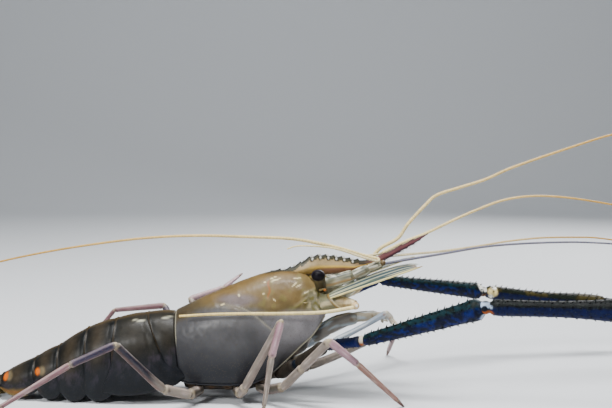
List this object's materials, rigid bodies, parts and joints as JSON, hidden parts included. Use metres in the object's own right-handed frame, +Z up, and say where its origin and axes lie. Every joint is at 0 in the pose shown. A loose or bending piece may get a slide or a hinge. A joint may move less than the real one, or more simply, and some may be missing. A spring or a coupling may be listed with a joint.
{
  "type": "giant freshwater prawn",
  "caption": "Still life-size model of a large male giant freshwater prawn, standing on its walking legs with both great claws held forward.",
  "frame": {"origin": "on the floor, under the middle of the whole animal's bounding box", "axes": "+X the way the head points, +Y the animal's left, +Z up"},
  "size_m": [0.3796, 0.182, 0.1348],
  "materials": {
    "shell": "glossy translucent shell, olive gold above and violet grey below",
    "tail": "glossy dark shell with tan bands",
    "rostrum": "glossy brown horn",
    "eye": "wet black cornea",
    "claw": "satin navy shell with olive marbling and fine spines",
    "leg": "satin lilac-pink shell",
    "pleopod": "soft translucent paddle",
    "feeler": "ringed cream-yellow feeler",
    "scale": "thin translucent blade with a pale yellow margin"
  },
  "bodies": {
    "root": {"abdomen_1": "tail", "abdomen_2": "tail", "abdomen_3": "tail", "abdomen_4": "tail", "abdomen_5": "tail", "abdomen_6": "tail", "antenna_feeler_left": "feeler", "antenna_feeler_right": "feeler", "antenna_stalk_left": "shell", "antenna_stalk_right": "shell", "antennule_inner_left": "feeler", "antennule_inner_right": "feeler", "antennule_outer_left": "feeler", "antennule_outer_right": "feeler", "antennule_stalk_left": "scale", "antennule_stalk_right": "scale", "carapace": "shell", "claw_arm_left": "claw", "claw_arm_right": "claw", "claw_finger_left": "claw", "claw_finger_right": "claw", "claw_forearm_left": "claw", "claw_forearm_right": "claw", "claw_palm_left": "claw", "claw_palm_right": "claw", "eye_left": "eye", "eye_right": "eye", "eyestalk_left": "shell", "eyestalk_right": "shell", "head": "shell", "maxilliped_left": "leg", "maxilliped_right": "leg", "pincer_leg_left": "leg", "pincer_leg_right": "leg", "pleopod_1_left": "pleopod", "pleopod_1_right": "pleopod", "pleopod_2_left": "pleopod", "pleopod_2_right": "pleopod", "pleopod_3_left": "pleopod", "pleopod_3_right": "pleopod", "pleopod_4_left": "pleopod", "pleopod_4_right": "pleopod", "pleopod_5_left": "pleopod", "pleopod_5_right": "pleopod", "rostrum": "rostrum", "scale_left": "scale", "scale_right": "scale", "sternum": "shell", "telson": "tail", "uropod_inner_left": "tail", "uropod_inner_right": "tail", "uropod_outer_left": "tail", "uropod_outer_right": "tail", "walking_leg_1_left": "leg", "walking_leg_1_right": "leg", "walking_leg_2_left": "leg", "walking_leg_2_right": "leg", "walking_leg_3_left": "leg", "walking_leg_3_right": "leg"}
  },
  "joints": []
}
